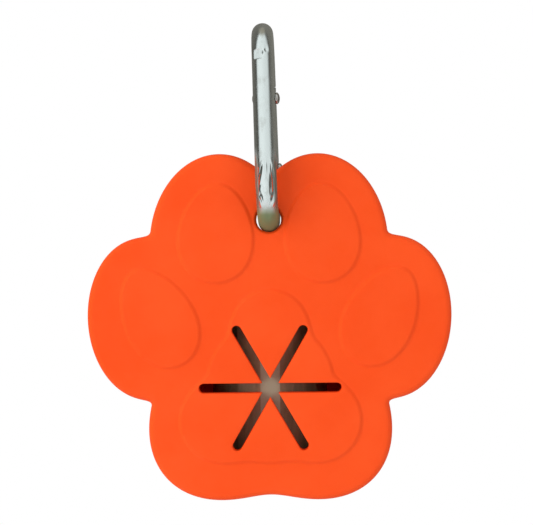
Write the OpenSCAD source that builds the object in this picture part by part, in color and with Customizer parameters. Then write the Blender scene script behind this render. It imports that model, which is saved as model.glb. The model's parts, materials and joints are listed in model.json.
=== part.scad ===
// Waste bag dispenser for a dog lead: a soft silicone paw with a star slot, hung on a snap hook.
// Millimetres. +Z is up and the paw's face is towards -Y.
// The origin is the inside top of the hook's loop, where the lead or ring carries the object.
// A closed ring of round wire passes through one hole in the paw. The paw's face is one thick sheet.
// A pouch presses on to a collar behind the sheet and holds an upright roll of bags.

/* [Paw sheet] */
// Overall width of the paw
paw_w = 90.4; // [80:0.2:110]
// Overall height of the paw
paw_h = 86; // [80:0.5:104]
// Height of the paw above the middle of its hole
paw_top = 16.4; // [14:0.2:18]
// Thickness of the sheet
sheet_t = 3; // [2.6:0.1:3.2]
// Rounding of the sheet's front edge
front_edge_r = 1.6; // [0.8:0.1:1.6]
// Rounding of the sheet's back edge
back_edge_r = 1; // [0.4:0.1:1]
// Blend between neighbouring toes, larger is softer
notch_blend = 1.9; // [1:0.1:3]

/* [Toes and heel] */
// Width of an upper toe
top_toe_w = 34.9; // [30:0.1:38]
// Height of an upper toe
top_toe_h = 45.4; // [40:0.1:50]
// Distance between the middles of the upper toes
top_toe_pitch = 24.4; // [20:0.1:28]
// Width of a side toe
side_toe_w = 27.9; // [24:0.1:31]
// Height of a side toe
side_toe_h = 40; // [36:0.5:44]
// Distance of a side toe's middle below the hole
side_toe_drop = 24.4; // [22:0.1:27]
// Lean of a side toe, in degrees
side_toe_lean = 3; // [0:1:6]
// Length of each of the two crossed heel lobes
heel_l = 65.5; // [60:0.5:70]
// Width of each heel lobe
heel_w = 44.7; // [40:0.1:48]
// Slope of a heel lobe, in degrees
heel_slope = 43; // [40:1:46]
// Distance between the middles of the heel lobes
heel_pitch = 3.6; // [2:0.1:6]

/* [Raised pads] */
// Height of the pads above the sheet
pad_rise = 0.45; // [0.3:0.05:0.6]
// Width of the soft step round a pad
pad_step_w = 1.5; // [0.8:0.1:2]
// Width of an upper toe's pad
top_pad_w = 19.6; // [16:0.1:21]
// Height of an upper toe's pad
top_pad_h = 25.7; // [22:0.1:28]
// Distance between the middles of the upper pads
top_pad_pitch = 26.3; // [24:0.1:29]
// Distance of an upper pad's middle below the hole
top_pad_drop = 3.4; // [2:0.1:5]
// Width of a side toe's pad
side_pad_w = 18.4; // [15:0.1:20]
// Height of a side toe's pad
side_pad_h = 27.2; // [24:0.1:30]
// Distance of a side pad's middle from the paw's edge
side_pad_inset = 17.6; // [16:0.1:20]
// Distance of a side pad's middle below the hole
side_pad_drop = 24.1; // [22:0.1:26]
// Outward lean of a side pad, in degrees
side_pad_lean = 27; // [20:1:34]
// Inward lean of an upper pad, in degrees
top_pad_lean = 3; // [0:1:8]
// How much narrower a pad's top is than its foot
pad_taper = 0.15; // [0:0.01:0.25]
// Radius of the heel pad's top
heel_pad_top_r = 9.9; // [8:0.1:11]
// Radius of the heel pad's two feet
heel_pad_foot_r = 10.7; // [9:0.1:12]
// Distance of the feet's middles below the star's middle
heel_pad_foot_drop = 8.1; // [7:0.1:9]
// Width of the heel pad's waist
heel_pad_waist_w = 32.4; // [28:0.1:34]
// Width across the heel pad's feet
heel_pad_w = 46; // [40:0.1:48]
// Height of the heel pad
heel_pad_h = 43.6; // [38:0.1:46]

/* [Star slot] */
// Length of each of the three slots
star_l = 35.4; // [28:0.1:40]
// Width of the slots
star_w = 2.4; // [2.4:0.1:3]
// Distance of the star's middle below the hole
star_drop = 41.7; // [38:0.1:44]

/* [Bag roll] */
// Diameter of the roll
roll_d = 30; // [24:0.5:36]
// Length of the roll
roll_l = 52; // [40:1:52]
// Outside diameter of the cardboard core
core_d = 13; // [10:0.5:16]
// Wall of the cardboard core
core_t = 1; // [0.6:0.1:1.5]
// Thickness of the folded leading bag on the roll's outside
lead_t = 0.5; // [0.3:0.1:0.8]
// How far round the roll the leading bag reaches, in degrees
lead_angle = 80; // [40:5:120]

/* [Pouch] */
// Wall of the pouch
pouch_t = 1.8; // [1.4:0.1:2.4]
// Wall of the collar behind the sheet
collar_t = 1.6; // [1.2:0.1:2]
// Depth of the collar behind the sheet
collar_l = 7; // [5:0.5:10]
// Corner radius of the pouch, seen from behind
pouch_corner_r = 10; // [8:0.5:12]
// Edge radius round the pouch's flat back
pouch_edge_r = 6.5; // [5:0.5:6.5]
// Distance of the pouch's top below the hole
pouch_drop = 5.2; // [5:0.1:8]

/* [Snap hook] */
// Overall length of the hook
hook_l = 52.5; // [48:0.5:60]
// Diameter of the hook's wire
wire_d = 5.3; // [4.4:0.1:5.4]
// Radius of the loop's bend, to the middle of the wire
loop_r = 5.8; // [5.3:0.1:6.5]
// Radius of the lower bend, to the middle of the wire
bend_r = 10; // [9.5:0.1:10.5]
// Distance along the wire from the loop's bend to the gate's pivot
pivot_run = 10.4; // [9:0.1:12]
// Distance between the gate's pivot and its latch pin
gate_run = 17.7; // [15:0.1:18]
// Sideways lean of the hook in the hole, in degrees
hook_lean = 1.5; // [0:0.5:4]
// Twist of the hook in the hole, in degrees
hook_twist = 2.5; // [0:0.5:5]

/* [Gate] */
// Thickness of the hook's flat tongue at the pivot
tongue_t = 2; // [1.6:0.1:2.2]
// Thickness of the hook's flat nose at the latch
nose_t = 1.7; // [1.4:0.1:2]
// Length of the nose past the latch pin
nose_reach = 1.9; // [1.5:0.1:2.2]
// Shank diameter of the pivot rivet
rivet_d = 1.6; // [1.4:0.1:1.8]
// Head diameter of the pivot rivet
rivet_head_d = 3; // [2.6:0.1:3.2]
// Shank diameter of the latch pin
latch_d = 1.2; // [1:0.1:1.4]
// Head diameter of the latch pin
latch_head_d = 2.2; // [2:0.1:2.4]
// How far the heads stand out past the wire
head_out = 0.9; // [0.6:0.1:1.1]
// Diameter of the plunger in the gate
plunger_d = 2.2; // [2:0.1:2.4]
// Length of the plunger
plunger_l = 3; // [2.5:0.5:4]
// Distance from the pivot to the flat that the plunger pushes on
cam_drop = 2; // [1.9:0.05:2.1]
// Length of the spring at rest
spring_l = 6.5; // [5:0.5:7]
// Wire diameter of the spring
spring_wire = 0.35; // [0.25:0.05:0.4]
// Number of curls in the spring
spring_curls = 7; // [5:1:8]

/* [Clearances] */
// Gap between the ring's wire and the hole's lips
hook_play = 0.31; // [0.3:0.01:0.6]
// Rounding of the hole's lips
hole_lip_r = 0.5; // [0.4:0.1:0.8]
// Gap round the roll's side
roll_gap = 1.2; // [1:0.1:2]
// Gap at each end of the roll
roll_end_gap = 0.3; // [0.3:0.1:1]
// Gap between the star's tips and the collar
star_margin = 0.8; // [0.5:0.1:2]
// Gap between the collar and the pouch
collar_gap = 0.15; // [0.1:0.05:0.3]
// Gap between the pouch's mouth and the sheet
mouth_gap = 0.15; // [0.1:0.05:0.3]
// Gap where flat metal parts slide past each other
slide_gap = 0.11; // [0.1:0.01:0.15]
// Gap between the gate's ends and the hook
end_gap = 0.3; // [0.3:0.05:0.4]
// Radial clearance of a turning or sliding pin
pin_gap = 0.05; // [0.03:0.01:0.1]
// Gap between the latch pin and its notch
notch_gap = 0.22; // [0.2:0.01:0.3]

/* [Hidden] */
silicone = [0.99, 0.35, 0.16];
steel = [0.72, 0.72, 0.70];
film = [0.28, 0.28, 0.29];
cardboard = [0.66, 0.52, 0.38];
outline_points = 180;
pad_points = 48;
edge_steps = 4;
overlap = 1;
wire_r = wire_d / 2;

// A pad's soft step bends at this share of its width and of its height.
pad_knee_w = 0.3;
pad_knee_h = 0.6;

// The leading bag reaches round the roll on both sides of its front, this share of it to the left.
lead_share = 0.4;

// Small reliefs of the metal parts, where one surface must stay clear of the next.
fork_swell = 0.1;
tongue_relief = 0.15;
flat_relief = 0.08;
slot_spare = 0.15;
head_recess = 0.2;
head_side_gap = 0.25;
head_seat_gap = 0.02;
head_taper = 0.6;

// Straight stretches of wire reach this far into the bends, and are this much thinner than them.
wire_lap = 0.25;
wire_step = 0.01;

// The ring of wire, in its own upright plane: back is +Y, and the loop's inside top is the origin.
loop_z = wire_r - loop_r;
bend_z = loop_z - (hook_l - wire_d - loop_r - bend_r);
strand_lean = asin((bend_r - loop_r) / (loop_z - bend_z));
strand_l = (loop_z - bend_z) * cos(strand_lean);
pivot_y = loop_r * cos(strand_lean) + pivot_run * sin(strand_lean);
pivot_z = loop_z + loop_r * sin(strand_lean) - pivot_run * cos(strand_lean);
gate_reach = strand_l - pivot_run;
gate_l = gate_reach - end_gap;
fork_r = wire_r + fork_swell;

// The sheet hangs in front of the ring's middle, so the gate can swing in behind it.
sheet_shift = 0.2;
sheet_y = sheet_shift - sheet_t;
lip_front_y = sheet_y - sheet_t / 2 + hole_lip_r;
lip_back_y = sheet_y + sheet_t / 2 - hole_lip_r;
wire_upper = sqrt(pow(bend_r - wire_r, 2) - pow(lip_front_y, 2));
wire_lower = sqrt(pow(bend_r + wire_r, 2) - pow(lip_back_y, 2));
hole_r = (wire_lower - wire_upper) / 2 + hook_play;
hole_z = bend_z - (wire_lower + wire_upper) / 2;
paw_x = sheet_y * sin(hook_twist) * cos(hook_lean) - hole_z * sin(hook_lean);
paw_y = sheet_y * cos(hook_twist);
paw_z = sheet_y * sin(hook_twist) * sin(hook_lean) + hole_z * cos(hook_lean);

// The paw's outline is the blend of six ovals, seen from a middle point inside them all.
paw_mid_z = -27;
heel_half = sqrt(pow(heel_l / 2 * sin(heel_slope), 2) + pow(heel_w / 2 * cos(heel_slope), 2));
heel_z = paw_top - paw_h + heel_half;
side_toe_x = (paw_w - side_toe_w) / 2;
top_toe_z = paw_top - top_toe_h / 2;
paw_ovals = [for (s = [-1, 1]) each [
    [s * top_toe_pitch / 2, top_toe_z - paw_mid_z, top_toe_w / 2, top_toe_h / 2, 0],
    [s * side_toe_x, -side_toe_drop - paw_mid_z, side_toe_w / 2, side_toe_h / 2, -s * side_toe_lean],
    [s * heel_pitch / 2, heel_z - paw_mid_z, heel_l / 2, heel_w / 2, -s * heel_slope]
]];

// The heel pad is a rounded triangle round the star, measured from the star's middle.
heel_pad_blend = 1.9;
heel_pad_waist_z = 1;
heel_pad_foot_x = heel_pad_w / 2 - heel_pad_foot_r;
heel_pad_foot_z = -heel_pad_foot_drop;
heel_pad_top_z = heel_pad_foot_z - heel_pad_foot_r + heel_pad_h - heel_pad_top_r;
heel_pad_ovals = [
    [0, heel_pad_top_z, heel_pad_top_r, heel_pad_top_r, 0],
    [0, heel_pad_waist_z, heel_pad_waist_w / 2, heel_pad_waist_w / 2, 0],
    [0, heel_pad_foot_z, heel_pad_waist_w / 2, heel_pad_foot_r, 0],
    [heel_pad_foot_x, heel_pad_foot_z, heel_pad_foot_r, heel_pad_foot_r, 0],
    [-heel_pad_foot_x, heel_pad_foot_z, heel_pad_foot_r, heel_pad_foot_r, 0]
];

// The roll, the collar round it and the pouch over the collar, sized outwards from the roll.
cavity_w = max(roll_d + 2 * roll_gap, star_l + 2 * star_margin);
cavity_h = roll_l + 2 * roll_end_gap;
collar_w = cavity_w + 2 * collar_t;
collar_h = cavity_h + 2 * collar_t;
pouch_in_w = collar_w + 2 * collar_gap;
pouch_in_h = collar_h + 2 * collar_gap;
pouch_w = pouch_in_w + 2 * pouch_t;
pouch_h = pouch_in_h + 2 * pouch_t;
pouch_z = -pouch_drop - pouch_h / 2;
roll_y = sheet_t / 2 + roll_gap + roll_d / 2;
pouch_in_back = roll_y + roll_d / 2 + roll_gap;
pouch_back = pouch_in_back + pouch_t;
panel_rise = 0.4;
panel_margin = 2.5;

// Gate details, measured down the gate from its pivot.
slot_floor = fork_r + end_gap;
plunger_top = cam_drop + pin_gap;
spring_top = plunger_top + plunger_l + pin_gap;
bore_l = spring_top + spring_l + pin_gap;
spring_r = plunger_d / 2 - spring_wire / 2 - pin_gap;
latch_slot_l = gate_l - gate_run + nose_reach + end_gap + slot_spare;
flat_x = wire_r - head_recess;

// Distance from the middle to the far side of an oval [x, z, half width, half height, turn].
function oval_reach(a, o) =
    let (ux = (sin(a) * cos(o[4]) + cos(a) * sin(o[4])) / o[2],
         uz = (cos(a) * cos(o[4]) - sin(a) * sin(o[4])) / o[3],
         vx = -(o[0] * cos(o[4]) + o[1] * sin(o[4])) / o[2],
         vz = -(o[1] * cos(o[4]) - o[0] * sin(o[4])) / o[3],
         qa = ux * ux + uz * uz,
         qb = ux * vx + uz * vz,
         qd = qb * qb - qa * (vx * vx + vz * vz - 1))
    qd < 0 ? 0 : max(0, (sqrt(qd) - qb) / qa);

// Largest of the reaches, with a soft blend where two are alike.
function soft_max(r, k) = max(r) + k * ln([for (v = r) exp((v - max(r)) / k)] * [for (v = r) 1]);

// Outline of blended ovals, clockwise from the top as seen from the front.
function blended_outline(ovals, k, n) = [for (i = [0:n - 1])
    let (a = 360 * i / n, r = soft_max([for (o = ovals) oval_reach(a, o)], k))
    [r * sin(a), r * cos(a)]];

// Egg outline, narrower at the top, turned about its middle.
function egg_outline(w, h, turn, n) = [for (i = [0:n - 1])
    let (a = 360 * i / n, x = w / 2 * sin(a) * (1 - pad_taper * cos(a)), z = h / 2 * cos(a))
    [x * cos(turn) + z * sin(turn), z * cos(turn) - x * sin(turn)]];

// The same outline, moved inwards by d.
function inset(p, d) = [for (i = [0:len(p) - 1])
    let (t = p[(i + 1) % len(p)] - p[(i + len(p) - 1) % len(p)])
    p[i] - [-t[1], t[0]] * d / norm(t)];

// A solid whose cross-section runs from back to front through rings [inset, y], cut flat at y0 and y1.
module ringed_plate(outline, rings, y0, y1) {
    n = len(outline);
    m = len(rings);
    points = [for (ring = rings) each [for (p = inset(outline, ring[0])) [p[0], ring[1], p[1]]]];
    back = [[for (i = [n - 1:-1:0]) i]];
    front = [[for (i = [0:n - 1]) (m - 1) * n + i]];
    sides = [for (j = [0:m - 2]) each [for (i = [0:n - 1]) each
        let (a = j * n + i, b = j * n + (i + 1) % n) [[a, b, b + n], [a, b + n, a + n]]]];
    intersection() {
        polyhedron(points, concat(back, sides, front));
        slab(y0, y1)
            square(2 * (paw_w + paw_h), center = true);
    }
}

// Extrudes a flat shape drawn in X and Z from y0 to y1.
module slab(y0, y1) {
    translate([0, y1, 0])
        rotate([90, 0, 0])
            linear_extrude(y1 - y0)
                children();
}

module rounded_rect(w, h, r) {
    square([w - 2 * r, h], center = true);
    square([w, h - 2 * r], center = true);
    for (x = [-1, 1] * (w / 2 - r), z = [-1, 1] * (h / 2 - r))
        translate([x, z])
            circle(r = r, $fn = 64);
}

// A box with rounded corners and a rounded edge round its back face.
module soft_box(w, h, y0, y1, corner_r, edge_r) {
    hull()
        for (x = [-1, 1] * (w / 2 - corner_r), z = [-1, 1] * (h / 2 - corner_r)) {
            translate([x, y1 - edge_r, z])
                rotate([90, 0, 0])
                    cylinder(r = corner_r, h = y1 - edge_r - y0, $fn = 32);
            translate([x, y1 - edge_r, z])
                rotate([90, 0, 0])
                    rotate_extrude($fn = 32)
                        translate([corner_r - edge_r, 0])
                            intersection() {
                                circle(r = edge_r, $fn = 32);
                                translate([0, -edge_r])
                                    square([edge_r, 2 * edge_r]);
                            }
        }
}

// Places: the ring's plane, the paw's hole, and the gate's pivot with the gate running down -Z.
module in_hook() {
    rotate([0, -hook_lean, 0])
        rotate([0, 0, -hook_twist])
            children();
}

module in_paw() {
    translate([paw_x, paw_y, paw_z])
        children();
}

module in_gate() {
    in_hook()
        translate([0, pivot_y, pivot_z])
            rotate([strand_lean, 0, 0])
                children();
}

// A cylinder along X.
module cross_pin(r, length) {
    rotate([0, 90, 0])
        cylinder(r = r, h = length, center = true, $fn = 48);
}

// A bent stretch of wire in the ring's plane, from angle a0 anticlockwise through sweep.
module wire_bend(z, r, a0, sweep) {
    translate([0, 0, z])
        rotate([90, 0, 90])
            rotate([0, 0, a0])
                rotate_extrude(angle = sweep, $fn = 96)
                    translate([r, 0])
                        circle(r = wire_r, $fn = 48);
}

// A headed pin across the wire at the origin.
module headed_pin(shank_r, head_r) {
    cross_pin(shank_r, wire_d);
    head_h = wire_r - flat_x + head_out;
    for (s = [0, 1])
        mirror([s, 0, 0])
            translate([flat_x, 0, 0])
                rotate([0, 90, 0]) {
                    cylinder(r = head_r, h = head_h / 2, $fn = 48);
                    translate([0, 0, head_h / 2])
                        cylinder(r1 = head_r, r2 = head_r * head_taper, h = head_h / 2, $fn = 48);
                }
}

// Three slots crossing in the middle.
module star() {
    for (turn = [0, 60, 120])
        rotate(turn) {
            square([star_l - star_w, star_w], center = true);
            for (s = [-1, 1])
                translate([s * (star_l - star_w) / 2, 0])
                    circle(d = star_w, $fn = 32);
        }
}

// The hole's lips are rounded, so the wire never bears on a sharp edge.
module lipped_hole() {
    half = sheet_t / 2;
    rotate([90, 0, 0])
        rotate_extrude($fn = 64)
            difference() {
                translate([0, -half - overlap])
                    square([hole_r + hole_lip_r, sheet_t + 2 * overlap]);
                for (s = [-1, 1])
                    translate([hole_r + hole_lip_r, s * (half - hole_lip_r)])
                        circle(r = hole_lip_r, $fn = 32);
                translate([hole_r, hole_lip_r - half])
                    square([hole_lip_r + overlap, sheet_t - 2 * hole_lip_r]);
            }
}

// A point as far past b as b is past a, where a slope runs on through the plane that cuts it.
function run_on(a, b) = 2 * b - a;

// The sheet's edge is a quarter round at the back and at the front.
module sheet() {
    half = sheet_t / 2;
    back = [for (k = [1:edge_steps - 1]) let (q = 90 * k / edge_steps)
        [back_edge_r * (1 - sin(q)), half - back_edge_r * (1 - cos(q))]];
    front = [for (k = [edge_steps:-1:1]) let (q = 90 * k / edge_steps)
        [front_edge_r * (1 - sin(q)), front_edge_r * (1 - cos(q)) - half]];
    first = run_on(back[0], [back_edge_r, half]);
    last = run_on(front[edge_steps - 1], [front_edge_r, -half]);
    translate([0, 0, paw_mid_z])
        ringed_plate(blended_outline(paw_ovals, notch_blend, outline_points),
                     concat([first], back, front, [last]), -half, half);
}

// A raised pad with a soft step round it, on the sheet's front.
module pad(outline) {
    foot = [0, -sheet_t / 2];
    knee = foot + [pad_step_w * pad_knee_w, -pad_rise * pad_knee_h];
    top = foot + [pad_step_w, -pad_rise];
    ringed_plate(outline, [run_on(knee, foot), knee, run_on(knee, top)], top[1], 0);
}

module pads() {
    for (s = [-1, 1]) {
        translate([s * top_pad_pitch / 2, 0, -top_pad_drop])
            pad(egg_outline(top_pad_w, top_pad_h, -s * top_pad_lean, pad_points));
        translate([s * (paw_w / 2 - side_pad_inset), 0, -side_pad_drop])
            pad(egg_outline(side_pad_w, side_pad_h, s * side_pad_lean, pad_points));
    }
    translate([0, 0, -star_drop])
        pad(blended_outline(heel_pad_ovals, heel_pad_blend, 2 * pad_points));
}

module collar() {
    corner_r = pouch_corner_r - pouch_t - collar_gap;
    translate([0, 0, pouch_z])
        slab(sheet_t / 2 - overlap, sheet_t / 2 + collar_l)
            difference() {
                rounded_rect(collar_w, collar_h, corner_r);
                rounded_rect(cavity_w, cavity_h, corner_r - collar_t);
            }
}

module front_shell() {
    color(silicone)
        in_paw()
            difference() {
                union() {
                    sheet();
                    pads();
                    collar();
                }
                lipped_hole();
                translate([0, 0, -star_drop])
                    slab(-sheet_t, sheet_t / 2 + overlap)
                        star();
            }
}

module rear_pouch() {
    mouth = sheet_t / 2 + mouth_gap;
    color(silicone)
        in_paw()
            translate([0, 0, pouch_z]) {
                difference() {
                    soft_box(pouch_w, pouch_h, mouth, pouch_back, pouch_corner_r, pouch_edge_r);
                    soft_box(pouch_in_w, pouch_in_h, mouth - overlap, pouch_in_back,
                             pouch_corner_r - pouch_t, pouch_edge_r - pouch_t);
                }
                slab(pouch_back - overlap, pouch_back + panel_rise)
                    rounded_rect(pouch_w - 2 * (pouch_edge_r + panel_margin),
                                 pouch_h - 2 * (pouch_edge_r + panel_margin), pouch_corner_r - pouch_edge_r);
            }
}

module in_roll() {
    in_paw()
        translate([0, roll_y, pouch_z])
            children();
}

module bag_roll() {
    color(film)
        in_roll()
            difference() {
                cylinder(d = roll_d, h = roll_l, center = true, $fn = 128);
                cylinder(d = core_d, h = roll_l + 2 * overlap, center = true, $fn = 96);
            }
}

// The first bag, folded flat against the roll's outside and facing the star.
module leading_bag() {
    color(film)
        in_roll()
            translate([0, 0, -roll_l / 2 + overlap])
                rotate([0, 0, -90 - lead_angle * lead_share])
                    rotate_extrude(angle = lead_angle, $fn = 128)
                        translate([roll_d / 2 + pin_gap, 0])
                            square([lead_t, roll_l - 2 * overlap]);
}

module roll_core() {
    color(cardboard)
        in_roll()
            difference() {
                cylinder(d = core_d, h = roll_l, center = true, $fn = 96);
                cylinder(d = core_d - 2 * core_t, h = roll_l + 2 * overlap, center = true, $fn = 96);
            }
}

// The flat tongue that the gate's fork straddles. Its end is the flat that the plunger pushes on.
module tongue() {
    intersection() {
        translate([-tongue_t / 2, -wire_r, -cam_drop])
            cube([tongue_t, wire_d, cam_drop + pivot_run / 2]);
        union() {
            cross_pin(fork_r - tongue_relief, wire_d);
            cylinder(r = wire_r - flat_relief, h = pivot_run, $fn = 48);
        }
    }
}

// The flat nose at the wire's lower end, with a notch for the latch pin that is open inwards.
module nose() {
    notch_r = latch_d / 2 + notch_gap;
    difference() {
        intersection() {
            translate([-nose_t / 2, -wire_r, -gate_reach - wire_lap])
                cube([nose_t, wire_d, gate_reach - gate_run + nose_reach + wire_lap]);
            translate([0, 0, -gate_reach - overlap])
                cylinder(r = wire_r - flat_relief, h = gate_reach, $fn = 48);
        }
        translate([0, 0, -gate_run]) {
            cross_pin(notch_r, wire_d);
            translate([-wire_r, -wire_d, -notch_r])
                cube([wire_d, wire_d, 2 * notch_r]);
        }
    }
}

module hook_body() {
    color(steel) {
        in_hook() {
            wire_bend(loop_z, loop_r, strand_lean, 180 - 2 * strand_lean);
            wire_bend(bend_z, bend_r, 180 - strand_lean, 180 + 2 * strand_lean);
            translate([0, -loop_r * cos(strand_lean), loop_z + loop_r * sin(strand_lean)])
                rotate([180 - strand_lean, 0, 0])
                    translate([0, 0, -wire_lap])
                        cylinder(r = wire_r - wire_step, h = strand_l + 2 * wire_lap, $fn = 48);
        }
        in_gate() {
            difference() {
                union() {
                    difference() {
                        cylinder(r = wire_r - wire_step, h = pivot_run + wire_lap, $fn = 48);
                        cross_pin(fork_r + end_gap, 2 * wire_d);
                    }
                    tongue();
                }
                cross_pin(rivet_d / 2, wire_d);
            }
            nose();
        }
    }
}

module gate() {
    color(steel)
        in_gate()
            difference() {
                intersection() {
                    translate([0, 0, -gate_l])
                        cylinder(r = wire_r, h = gate_l + wire_d, $fn = 48);
                    union() {
                        cross_pin(fork_r, 2 * wire_d);
                        translate([-wire_d, -wire_d, -gate_l - overlap])
                            cube([2 * wire_d, 2 * wire_d, gate_l + overlap]);
                    }
                }
                translate([-tongue_t / 2 - slide_gap, -wire_d, -slot_floor])
                    cube([tongue_t + 2 * slide_gap, 2 * wire_d, slot_floor + wire_d]);
                translate([-nose_t / 2 - slide_gap, -wire_d, -gate_l - overlap])
                    cube([nose_t + 2 * slide_gap, 2 * wire_d, latch_slot_l + overlap]);
                translate([0, 0, -bore_l])
                    cylinder(d = plunger_d + 2 * pin_gap, h = bore_l, $fn = 48);
                cross_pin(rivet_d / 2 + pin_gap, 2 * wire_d);
                translate([0, 0, -gate_run])
                    cross_pin(latch_d / 2, 2 * wire_d);
                for (s = [0, 1])
                    mirror([s, 0, 0]) {
                        translate([flat_x - head_seat_gap, 0, 0])
                            rotate([0, 90, 0])
                                cylinder(d = rivet_head_d + 2 * head_side_gap, h = wire_d, $fn = 48);
                        translate([flat_x, 0, -gate_run])
                            rotate([0, 90, 0])
                                cylinder(d = latch_head_d + 2 * head_side_gap, h = wire_d, $fn = 48);
                    }
            }
}

module gate_rivet() {
    color(steel)
        in_gate()
            headed_pin(rivet_d / 2, rivet_head_d / 2);
}

module latch_pin() {
    color(steel)
        in_gate()
            translate([0, 0, -gate_run])
                headed_pin(latch_d / 2, latch_head_d / 2);
}

module gate_plunger() {
    color(steel)
        in_gate()
            translate([0, 0, -plunger_top - plunger_l])
                cylinder(d = plunger_d, h = plunger_l, $fn = 48);
}

// The spring's wire follows a helix. Its gap to itself is measured between neighbouring curls.
curl_rings = 8;
wire_sides = 6;
spring_rings = spring_curls * curl_rings;
spring_pitch = (spring_l - spring_wire) / spring_curls;
function spring_centre(i) = let (a = 360 * i / curl_rings)
    [spring_r * cos(a), spring_r * sin(a),
     -spring_top - spring_wire / 2 - spring_pitch * i / curl_rings];
spring_gap = min([for (i = [0:spring_rings - curl_rings], k = [curl_rings / 2 + 1:curl_rings])
    norm(spring_centre(i + k) - spring_centre(i))]) - spring_wire;
echo(spring_gap = spring_gap);

module gate_spring() {
    climb = atan(spring_pitch / (2 * PI * spring_r));
    points = [for (i = [0:spring_rings]) each [for (k = [0:wire_sides - 1])
        let (a = 360 * i / curl_rings, q = 360 * k / wire_sides, out = [cos(a), sin(a), 0],
             up = [-sin(a) * sin(climb), cos(a) * sin(climb), cos(climb)])
        spring_centre(i) + spring_wire / 2 * (cos(q) * out + sin(q) * up)]];
    last = spring_rings * wire_sides;
    caps = [for (k = [1:wire_sides - 2]) each [[0, k, k + 1], [last, last + k + 1, last + k]]];
    sides = [for (i = [0:spring_rings - 1], k = [0:wire_sides - 1]) each
        let (a = i * wire_sides + k, b = i * wire_sides + (k + 1) % wire_sides)
        [[a, a + wire_sides, b], [b, a + wire_sides, b + wire_sides]]];
    color(steel)
        in_gate()
            polyhedron(points, concat(caps, sides));
}

front_shell();
rear_pouch();
bag_roll();
leading_bag();
roll_core();
hook_body();
gate();
gate_rivet();
latch_pin();
gate_plunger();
gate_spring();
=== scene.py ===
import json
import math
import random

import bmesh
import bpy
import numpy as np
from mathutils import Matrix, Vector
from mathutils.geometry import delaunay_2d_cdt


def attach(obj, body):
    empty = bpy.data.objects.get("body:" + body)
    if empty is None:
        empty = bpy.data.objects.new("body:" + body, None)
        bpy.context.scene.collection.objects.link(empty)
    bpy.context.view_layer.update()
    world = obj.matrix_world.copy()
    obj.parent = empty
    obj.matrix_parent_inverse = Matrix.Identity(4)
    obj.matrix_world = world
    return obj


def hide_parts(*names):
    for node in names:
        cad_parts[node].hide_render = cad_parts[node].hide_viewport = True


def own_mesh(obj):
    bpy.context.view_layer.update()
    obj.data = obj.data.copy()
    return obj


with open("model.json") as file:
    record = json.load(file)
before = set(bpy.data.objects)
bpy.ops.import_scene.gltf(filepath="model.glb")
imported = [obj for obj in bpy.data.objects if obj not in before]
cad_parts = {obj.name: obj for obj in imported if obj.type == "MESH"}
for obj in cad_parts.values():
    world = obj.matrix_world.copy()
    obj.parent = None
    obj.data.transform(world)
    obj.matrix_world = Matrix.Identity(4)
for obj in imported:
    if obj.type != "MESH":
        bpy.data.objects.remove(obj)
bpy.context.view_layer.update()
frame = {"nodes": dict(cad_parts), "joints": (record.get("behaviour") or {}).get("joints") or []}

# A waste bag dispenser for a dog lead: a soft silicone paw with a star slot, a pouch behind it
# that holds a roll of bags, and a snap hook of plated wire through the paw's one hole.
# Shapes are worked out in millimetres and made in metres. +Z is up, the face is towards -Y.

MM = 0.001
SEED = 7
WELD = 1e-8

# The camera sees VIEW_W across at the paw's face. It stands CAMERA_GAP in front of that face, a
# little to the left of the paw's hole and below it, and it is rolled by CAMERA_ROLL degrees.
VIEW_W = 131.9
CAMERA_GAP = 330
CAMERA_LEFT = 0.65
CAMERA_DROP = 10.64
CAMERA_ROLL = 0.54
SENSOR_W = 36

# The paw's sheet, 2 * HALF thick. An oval is a row of (x, z, half width, half height, turn in
# degrees), here from the paw's middle, which lies PAW_MIDDLE from the hole. The sheet's side
# swells by BELLY at the depth BELLY_Y.
HALF = 1.5
FRONT_EDGE_R = 1.6
BACK_EDGE_R = 1.0
BELLY = 0.05
BELLY_Y = 0.3
PAW_MIDDLE = -27
NOTCH_BLEND = 1.9
TOP_TOE = (12.2, 20.7, 17.45, 22.7, 0)
SIDE_TOE = (31.25, 2.6, 13.95, 20, -3)
HEEL_LOBE = (1.8, -14.92, 32.75, 22.35, -43)
OUTLINE_POINTS = 420

# The raised pads. An egg is a row of (x, z, width, height, turn in degrees) from the hole. The
# heel pad's ovals are rows like the outline's, from the star's middle.
PAD_RISE = 0.45
PAD_STEP = 1.1
PAD_TAPER = 0.15
PAD_POINTS = 160
TOP_PAD = (13.15, -3.4, 19.6, 25.7, -3)
SIDE_PAD = (27.6, -24.1, 18.4, 27.2, 27)
HEEL_PAD_OVALS = ((0, 14.9, 9.9, 9.9, 0), (0, 1, 16.2, 16.2, 0), (0, -8.1, 16.2, 10.7, 0),
                  (12.3, -8.1, 10.7, 10.7, 0), (-12.3, -8.1, 10.7, 10.7, 0))

# The hole, which is drawn in by HOLE_WAIST at mid-thickness, and the star slot.
HOLE_R = 3.4249
HOLE_LIP = 0.5
HOLE_WAIST = 0.36
STAR_L = 35.4
STAR_W = 2.4
STAR_DROP = 41.7
STAR_LIP = 0.3
STAR_BACK_LIP = 0.15

# The collar, the pouch and the roll of bags.
CAVITY_W = 37
CAVITY_H = 52.6
COLLAR_T = 1.6
COLLAR_L = 7
COLLAR_EDGE = 0.5
CORNER_R = 10
POUCH_T = 1.8
COLLAR_GAP = 0.15
MOUTH_GAP = 0.15
POUCH_EDGE_R = 6.5
POUCH_DROP = 5.2
PANEL_RISE = 0.4
PANEL_MARGIN = 2.5
ROLL_GAP = 1.2
ROLL_R = 15
ROLL_L = 52
CORE_R = 6.5
CORE_T = 1

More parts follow.
